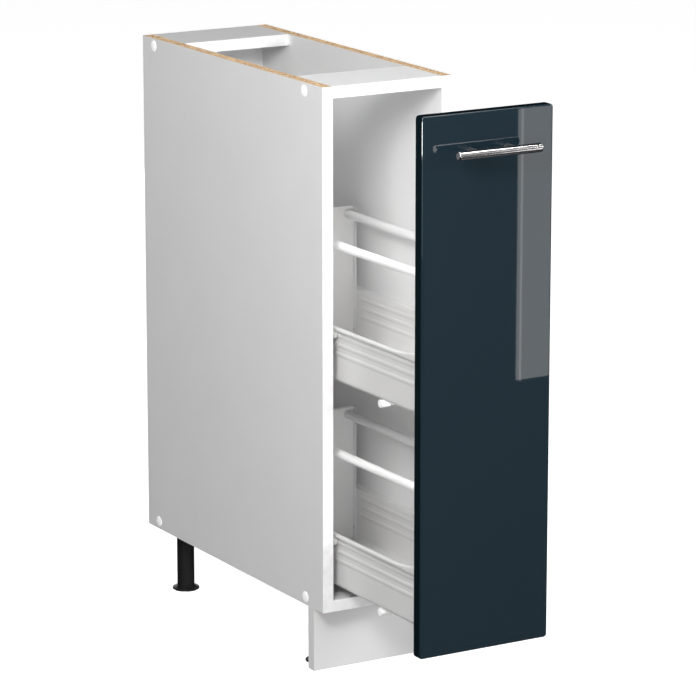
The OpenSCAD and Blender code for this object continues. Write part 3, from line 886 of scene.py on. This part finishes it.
@dataclass
class Front(Assembly):
    """Front panel, buffers and handle."""

    body: str = "pull_out"
    bar_round: float = 1.8 * MM
    corner_round: float = 4.5 * MM
    edge_round: float = 2.2 * MM
    rear_round: float = 0.8 * MM

    CORNER_STEPS = 10
    EDGE_STEPS = 8
    REAR_STEPS = 3
    BAR_END_STEPS = 6
    BAR_STEPS = 96
    BAR_SHARP = 60.0
    RIM = 1  # the material number of the panel's rim, which takes the near-black lacquer as painted shade
    RIM_FACING = 0.3

    def _outline(self, y: float, inset: float) -> list[Point]:
        """The panel's outline at one depth, with its round corners.

        Args:
            y: the depth.
            inset: how far the outline lies inside the panel's sides.

        Returns:
            The outline's corners.
        """
        low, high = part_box("front_panel")
        radius = self.corner_round - inset
        points = []
        corners = ((high.x, high.z), (low.x, high.z), (low.x, low.z), (high.x, low.z))
        for turn, (x, z) in enumerate(corners):
            centre_x = x - math.copysign(self.corner_round, x - (low.x + high.x) / 2)
            centre_z = z - math.copysign(self.corner_round, z - (low.z + high.z) / 2)
            for step in range(self.CORNER_STEPS + 1):
                angle = math.radians(90 * (turn + step / self.CORNER_STEPS))
                points.append((centre_x + radius * math.cos(angle), y, centre_z + radius * math.sin(angle)))
        return points

    def _panel(self) -> None:
        """Makes the front panel, with round corners and soft edges."""
        low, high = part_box("front_panel")
        sections = []
        for step in range(self.EDGE_STEPS + 1):
            angle = math.radians(90 * step / self.EDGE_STEPS)
            inset = self.edge_round * (1 - math.sin(angle))
            sections.append(self._outline(low.y + self.edge_round * (1 - math.cos(angle)), inset))
        for step in range(self.REAR_STEPS + 1):
            angle = math.radians(90 * step / self.REAR_STEPS)
            inset = self.rear_round * (1 - math.cos(angle))
            sections.append(self._outline(high.y - self.rear_round * (1 - math.sin(angle)), inset))
        shape = Shape(self.frame).loft(sections)
        # the rim faces take the near-black lacquer: painted shade
        for face in shape.mesh.faces:
            if abs(face.normal.y) < self.RIM_FACING:
                face.material_index = self.RIM
        shape.piece("front_panel_piece", self.body, [GlossLacquer(), RIM_PAINTED_SHADE_LACQUER], ["front_panel"])

    def _bar(self) -> None:
        """Turns the handle bar, with its rounded ends."""
        low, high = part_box("handle_bar")
        middle = tuple((low + high) / 2)
        half, radius = (high.x - low.x) / 2, (high.z - low.z) / 2
        end = []
        for step in range(self.BAR_END_STEPS + 1):
            angle = math.radians(90 * step / self.BAR_END_STEPS)
            inwards = self.bar_round * (1 - math.cos(angle))
            end.append((half - self.bar_round + self.bar_round * math.sin(angle), radius - inwards))
        end.reverse()
        outline = end + [(-along, reach) for along, reach in reversed(end)]
        shape = Shape(self.frame).turn(outline, middle, 0, self.BAR_STEPS)
        shape.piece("handle_bar_piece", self.body, [POLISHED], ["handle_bar"], self.BAR_SHARP)

    def build(self) -> None:
        """Makes every piece."""
        self._panel()
        self.soft_copy("front_buffers", CLEAR_RUBBER, 0.4 * MM)
        self._bar()
        # the posts take the darker steel: painted shade
        self.soft_copy("handle_posts", POST_PAINTED_SHADE_STEEL, 0.1 * MM)
        self.soft_copy("handle_screws", ZINC, 0.4 * MM)


@dataclass
class Tray(Assembly):
    """One-piece tray: a floor, ribbed walls, and rims that sweep up at the front."""

    node: str = "upper_tray"
    body: str = "pull_out"
    height: float = 76 * MM
    sheet: float = 1.2 * MM
    corner: float = 6 * MM
    rim_width: float = 5 * MM
    rim_height: float = 4 * MM
    rim_round: float = 1.6 * MM
    sweep_radius: float = 320 * MM
    sweep_length: float = 103 * MM
    rib_heights: tuple[float, ...] = (64.5 * MM, 52 * MM, 39.5 * MM)
    rib_depth: float = 0.8 * MM
    rib_crown: float = 8 * MM
    rib_margin: float = 18.5 * MM
    lip: float = 0.4 * MM

    ARC_STEPS = 6
    RIM_STEPS = 4
    RIB_PLACES = (-1.04, -1.0, -0.9, -0.7, -0.4, 0.0, 0.4, 0.7, 0.9, 1.0, 1.04)
    END_PLACES = (0.0, 0.02, 0.06, 0.13, 0.22, 0.34, 0.5, 0.7, 1.0)
    SWEEP_STEPS = 24
    STRAIGHT_STEPS = 6
    END_SPAN = 1.02  # a rib's drawn end, in halves of its width
    END_LEAD = 0.01  # how far before a rib the drawing starts, in the same halves
    CLOSEST = 0.02 * MM
    SHARP = 50.0

    def __post_init__(self) -> None:
        """Reads the tray's place from its CAD node."""
        low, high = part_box(self.node)
        self.front, self.rear, self.underside = low.y, high.y, low.z
        self.wall = high.x - self.rim_width
        sunk = self.rib_crown - self.rib_depth
        self.rib_half = math.sqrt(self.rib_crown**2 - sunk**2)

    def _rise(self, y: float) -> float:
        """How far the rim has risen at a place along the tray."""
        reach = max(self.front + self.sweep_length - y, 0.0)
        return self.sweep_radius - math.sqrt(self.sweep_radius**2 - reach**2)

    def _rib(self, y: float, z: float) -> float:
        """How far a rib stands out of the wall.

        Args:
            y: the place along the tray.
            z: the height over the underside.

        Returns:
            The rib's height there, or 0 beside the ribs.
        """
        first = self.front + self.rib_margin + self.rib_half
        last = self.rear - self.rib_margin - self.rib_half
        along = max(first - y, y - last, 0.0)
        off = min(math.hypot(along, z - height) for height in self.rib_heights)
        if off >= self.rib_half:
            return 0.0
        return math.sqrt(self.rib_crown**2 - off**2) - (self.rib_crown - self.rib_depth)

    @staticmethod
    def _arc(centre: Flat, radius: float, start: float, steps: int) -> list[Flat]:
        """Points of a quarter circle, counterclockwise.

        Args:
            centre: its centre.
            radius: its radius.
            start: the angle of its first point, in degrees.
            steps: facets along it.

        Returns:
            The points, both ends included.
        """
        angles = [math.radians(start + 90 * step / steps) for step in range(steps + 1)]
        return [(centre[0] + radius * math.cos(a), centre[1] + radius * math.sin(a)) for a in angles]

    def _section(self, y: float) -> list[Point]:
        """The tray's closed section across its length.

        Args:
            y: the place along the tray.

        Returns:
            The section's corners.
        """
        ledge = self.height - self.rim_height
        top = self.height + self._rise(y)
        inside = self.wall - self.sheet
        outside = self.wall + self.rim_width
        heights = sorted(
            rib + place * self.rib_half for rib in self.rib_heights for place in self.RIB_PLACES
        )
        outer = self._arc((self.wall - self.corner, self.corner), self.corner, -90.0, self.ARC_STEPS)
        outer += [(self.wall + self._rib(y, z), z) for z in heights]
        outer += [(self.wall, ledge), (outside - self.lip, ledge), (outside, ledge + self.lip)]
        turned_over = (outside - self.rim_round, top - self.rim_round)
        outer += self._arc(turned_over, self.rim_round, 0.0, self.RIM_STEPS)
        inner = [(inside + self.lip, top), (inside, top - self.lip)]
        inner += [(inside - self._rib(y, z), z) for z in reversed(heights)]
        centre = (inside - self.corner + self.sheet, self.corner)
        inner += reversed(self._arc(centre, self.corner - self.sheet, -90.0, self.ARC_STEPS))
        half = outer + inner
        both = half + [(-x, z) for x, z in reversed(half)]
        return [(x, y, self.underside + z) for x, z in both]

    def _stations(self) -> list[float]:
        """Places along the tray where its section is drawn.

        Returns:
            The places, from the front to the rear.
        """
        span = self.rib_half * self.END_SPAN
        ends = [self.rib_margin - self.END_LEAD * self.rib_half + span * place for place in self.END_PLACES]
        sweep = [self.sweep_length * step / self.SWEEP_STEPS for step in range(self.SWEEP_STEPS + 1)]
        length = self.rear - self.front
        plain = length - self.sweep_length
        steps = range(1, self.STRAIGHT_STEPS + 1)
        straight = [self.sweep_length + plain * step / self.STRAIGHT_STEPS for step in steps]
        places = sorted([*ends, *(length - end for end in ends), *sweep, *straight])
        kept = [place for place, following in zip(places, places[1:]) if following - place > self.CLOSEST]
        return [self.front + place for place in (*kept, places[-1])]

    def build(self) -> None:
        """Makes the tray."""
        shape = Shape(self.frame).loft([self._section(y) for y in self._stations()])
        shape.piece(f"{self.node}_piece", self.body, [PowderCoat()], [self.node], self.SHARP)


@dataclass
class Baskets(Assembly):
    """Trays, ends, brackets, rails and what fastens them."""

    body: str = "pull_out"
    rail_radius: float = 6 * MM
    rail_bore: float = 3 * MM
    collar_end: float = 71.55 * MM
    collar_node_end: float = 70.8 * MM

    def _rail(self, node: str) -> None:
        """Makes one side rail, as stout as the photograph shows.

        Args:
            node: the rail's CAD node.
        """
        low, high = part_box(node)
        middle = (low + high) / 2
        factor = self.rail_radius / ((high.x - low.x) / 2)

        def stout(corner: Vector) -> Vector:
            """Moves the outer skin out and leaves the bore.

            Args:
                corner: a corner of the rail.

            Returns:
                Its new place.
            """
            arm = Vector((corner.x - middle.x, corner.z - middle.z))
            if arm.length > self.rail_bore:
                arm *= factor
            return Vector((middle.x + arm.x, corner.y, middle.z + arm.y))

        shape = Shape(self.frame).take(node).reshape(stout).soften(0.2 * MM)
        # the far rails take the darker copy of the coat as painted shade, the near rails the lighter copy as
        # painted light
        coat = FAR_RAIL_PAINTED_SHADE_COAT if middle.x > 0 else NEAR_RAIL_PAINTED_LIGHT_COAT
        shape.piece(f"{node}_piece", self.body, [coat], [node])

    def _pins(self) -> None:
        """Makes the rear rollers' pins, with collars that reach past the trays' ribs."""

        def reach(corner: Vector) -> Vector:
            """Moves the collars' outer ends.

            Args:
                corner: a corner of a pin.

            Returns:
                Its new place.
            """
            if abs(abs(corner.x) - self.collar_node_end) >= ON_PLANE:
                return corner
            return Vector((math.copysign(self.collar_end, corner.x), corner.y, corner.z))

        shape = Shape(self.frame).take("rear_roller_pins").reshape(reach).soften(0.1 * MM)
        shape.piece("rear_roller_pins_piece", self.body, [ZINC], ["rear_roller_pins"])

    def build(self) -> None:
        """Makes every piece."""
        for level in ("upper", "lower"):
            Tray(self.frame, node=f"{level}_tray").build()
            # the ends and brackets take a lighter copy of the coat: painted light
            self.soft_copy(f"{level}_rear_end", END_COAT, 0.3 * MM)
            self.soft_copy(f"{level}_front_bracket", END_COAT, 0.3 * MM)
            for side in ("left", "right"):
                self._rail(f"{level}_{side}_rail")
        # the catches glow a little: painted light
        self.soft_copy("tray_catches", WHITE_PLASTIC, 0.5 * MM, 3)
        self.soft_copy("bracket_screws", ZINC, 0.3 * MM)
        self.soft_copy("tray_rivets", ZINC, 0.3 * MM)
        self.soft_copy("rail_screws", ZINC, 0.4 * MM)
        self._pins()


# --- Studio -------------------------------------------------------------------


class Use(Enum):
    """What a light is for."""

    SOFT = "lights and is mirrored"
    CARD = "is only mirrored in gloss"
    FILL = "lights without shadows and isn't mirrored"


@dataclass(frozen=True)
class Lamp:
    """One rectangular soft light: its place, size and power, and the point that it faces."""

    name: str
    at: Point
    size: tuple[float, float]
    power: float
    aim: Point = (0.0, 0.0, 0.45)
    use: Use = Use.SOFT

    def hang(self) -> None:
        """Hangs the light."""
        data = bpy.data.lights.new(self.name, "AREA")
        data.shape = "RECTANGLE"
        data.size, data.size_y = self.size
        data.energy = self.power
        light = bpy.data.objects.new(self.name, data)
        light.location = self.at
        light.rotation_euler = (Vector(self.aim) - Vector(self.at)).to_track_quat("-Z", "Y").to_euler()
        light.visible_camera = False
        light.visible_diffuse = self.use is not Use.CARD
        light.visible_glossy = self.use is not Use.FILL
        data.use_shadow = self.use is not Use.FILL
        bpy.context.scene.collection.objects.link(light)


@dataclass
class Studio:
    """Floor, backdrop, lights, surroundings and camera."""

    photo_pixels: int = 696
    focal_pixels: float = 3882.0
    sensor_mm: float = 36.0
    camera_at: Point = (-2.606, -4.462, 1.669)
    azimuth: float = 30.34
    pitch: float = 13.55
    clip_end: float = 200.0
    half: float = 40.0
    sunk: float = -0.5
    floor_colour: Colour = (0.5, 0.5, 0.5)
    floor_glow: float = 0.96
    backdrop_glow: float = 0.96
    bounce_round: float = 1.54
    bounce_left: float = 0.71
    bounce_front: float = 0.43

    LAMPS = (
        Lamp("overhead", (0.0, -0.2, 3.2), (2.5, 2.5), 60.2),
        Lamp("right_front", (2.6, -2.4, 1.6), (1.5, 1.5), 58.4),
        Lamp("near", (-1.3, -1.3, 1.6), (0.6, 0.6), 31.8),
        Lamp("near_high", (-0.9, -0.9, 2.0), (0.6, 0.6), 2.7),
        Lamp("near_low", (-0.8, -1.7, 0.5), (0.4, 0.4), 2.0),
        Lamp("fill", (-2.9, -2.6, 1.0), (1.4, 1.4), 8.7, use=Use.FILL),
        Lamp("rear", (0.8, 3.4, 0.5), (2.0, 0.8), 14.0),
        Lamp("haze", (1.485, -2.87, -0.25), (1.6, 2.0), 1.3, (0.0, -0.362, 0.45), Use.CARD),
        Lamp("window", (0.852, -1.54, 0.3405), (0.09, 0.48), 0.34, (0.852, 0.0, 0.3405), Use.CARD),
        Lamp("window_frame", (0.809, -1.53, 0.3405), (0.004, 0.48), 0.0115, (0.809, 0.0, 0.3405), Use.CARD),
        Lamp("edge_glint", (-1.10, -0.954, 0.564), (0.5, 0.054), 5.4, (-0.0985, -0.36, 0.844), Use.CARD),
        Lamp("bar_line", (1.22, -0.96, 2.88), (0.4, 0.25), 6.0, (0.0, -0.38, 0.78), Use.CARD),
        Lamp("bar_top", (2.2, -3.2, 2.6), (3.0, 3.0), 9.5, (0.0, -0.39, 0.76), Use.CARD),
        Lamp("bar_low", (0.42, -0.6, -0.3), (0.6, 0.6), 0.18, (0.0, -0.39, 0.78), Use.CARD),
        Lamp("inside", (-0.02, -0.31, 0.48), (0.1, 0.6), 0.42, (0.0, 0.36, 0.48), Use.FILL),
    )

    def _stage(self, name: str, corners: Sequence[Point], faces: Sequence[Sequence[int]]) -> bpy.types.Object:
        """Adds a piece of the studio that only the camera sees, and that takes shadows but casts none.

        Args:
            name: the piece's name.
            corners: its corners.
            faces: the corners' numbers of each face.

        Returns:
            The piece.
        """
        data = bpy.data.meshes.new(name)
        data.from_pydata(corners, [], faces)
        made = bpy.data.objects.new(name, data)
        bpy.context.scene.collection.objects.link(made)
        made.visible_glossy = False
        made.visible_diffuse = False
        made.visible_shadow = False
        return made

    def _floor(self) -> None:
        """Lays a wide pale floor."""
        h = self.half
        floor = self._stage("floor", [(-h, -h, 0), (h, -h, 0), (h, h, 0), (-h, h, 0)], [(0, 1, 2, 3)])
        graph = Coat("floor")
        floor.data.materials.append(
            graph.done(
                Base_Color=self.floor_colour,
                Roughness=0.9,
                Specular_IOR_Level=0.0,
                Emission_Color=(1.0, 1.0, 1.0),
                Emission_Strength=self.floor_glow,
            )
        )

    def _backdrop(self) -> None:
        """Stands four pale walls and a ceiling far away."""
        h = self.half
        corners = [(x, y, z) for z in (self.sunk, 2 * h) for x, y in ((-h, -h), (h, -h), (h, h), (-h, h))]
        faces = [(0, 1, 5, 4), (1, 2, 6, 5), (2, 3, 7, 6), (3, 0, 4, 7), (4, 5, 6, 7)]
        backdrop = self._stage("backdrop", corners, faces)
        graph = Coat("backdrop")
        backdrop.data.materials.append(
            graph.done(
                Base_Color=(0.0, 0.0, 0.0),
                Specular_IOR_Level=0.0,
                Emission_Color=(1.0, 1.0, 1.0),
                Emission_Strength=self.backdrop_glow,
            )
        )

    def _world(self) -> None:
        """Surrounds the object with the light that the floor bounces up, most from the left and front."""
        world = bpy.data.worlds.new("studio")
        bpy.context.scene.world = world
        world.use_nodes = True
        world.cycles_visibility.glossy = False
        graph = Graph(world.node_tree)
        towards = graph.node("ShaderNodeTexCoord", output="Generated")
        x, y, z = (
            graph.node("ShaderNodeSeparateXYZ", sockets={0: towards}, output=axis) for axis in range(3)
        )
        leftward, forward, level = 0.5 * (abs(x) - x), 0.5 * (abs(y) - y), 1 - abs(z)
        level = level * level
        below = 1 - (z > 0.0)
        near_level = level * level * (self.bounce_round + self.bounce_left * leftward)
        glow = below * (near_level + self.bounce_front * forward)
        graph.tree.links.new(glow.socket, graph.tree.nodes["Background"].inputs["Color"])

    def _camera(self) -> None:
        """Puts the camera at the photograph's viewing angle."""
        data = bpy.data.cameras.new("camera")
        data.sensor_width = self.sensor_mm
        data.lens = self.sensor_mm * self.focal_pixels / self.photo_pixels
        data.clip_end = self.clip_end
        camera = bpy.data.objects.new("camera", data)
        camera.location = self.camera_at
        camera.rotation_euler = (math.radians(90 - self.pitch), 0.0, -math.radians(self.azimuth))
        bpy.context.scene.collection.objects.link(camera)
        bpy.context.scene.camera = camera

    def build(self) -> None:
        """Makes the whole studio."""
        bpy.context.scene.view_settings.view_transform = "Standard"
        self._floor()
        self._backdrop()
        self._world()
        for lamp in self.LAMPS:
            lamp.hang()
        self._camera()


def main() -> None:
    """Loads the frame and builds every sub-assembly."""
    logging.basicConfig(level=logging.INFO, format="%(name)s: %(message)s")
    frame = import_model()
    Studio().build()
    for part in (Carcass(frame), Base(frame), Runners(frame), Front(frame), Baskets(frame)):
        part.build()
        LOG.info("built %s", type(part).__name__)


if __name__ == "__main__":
    main()
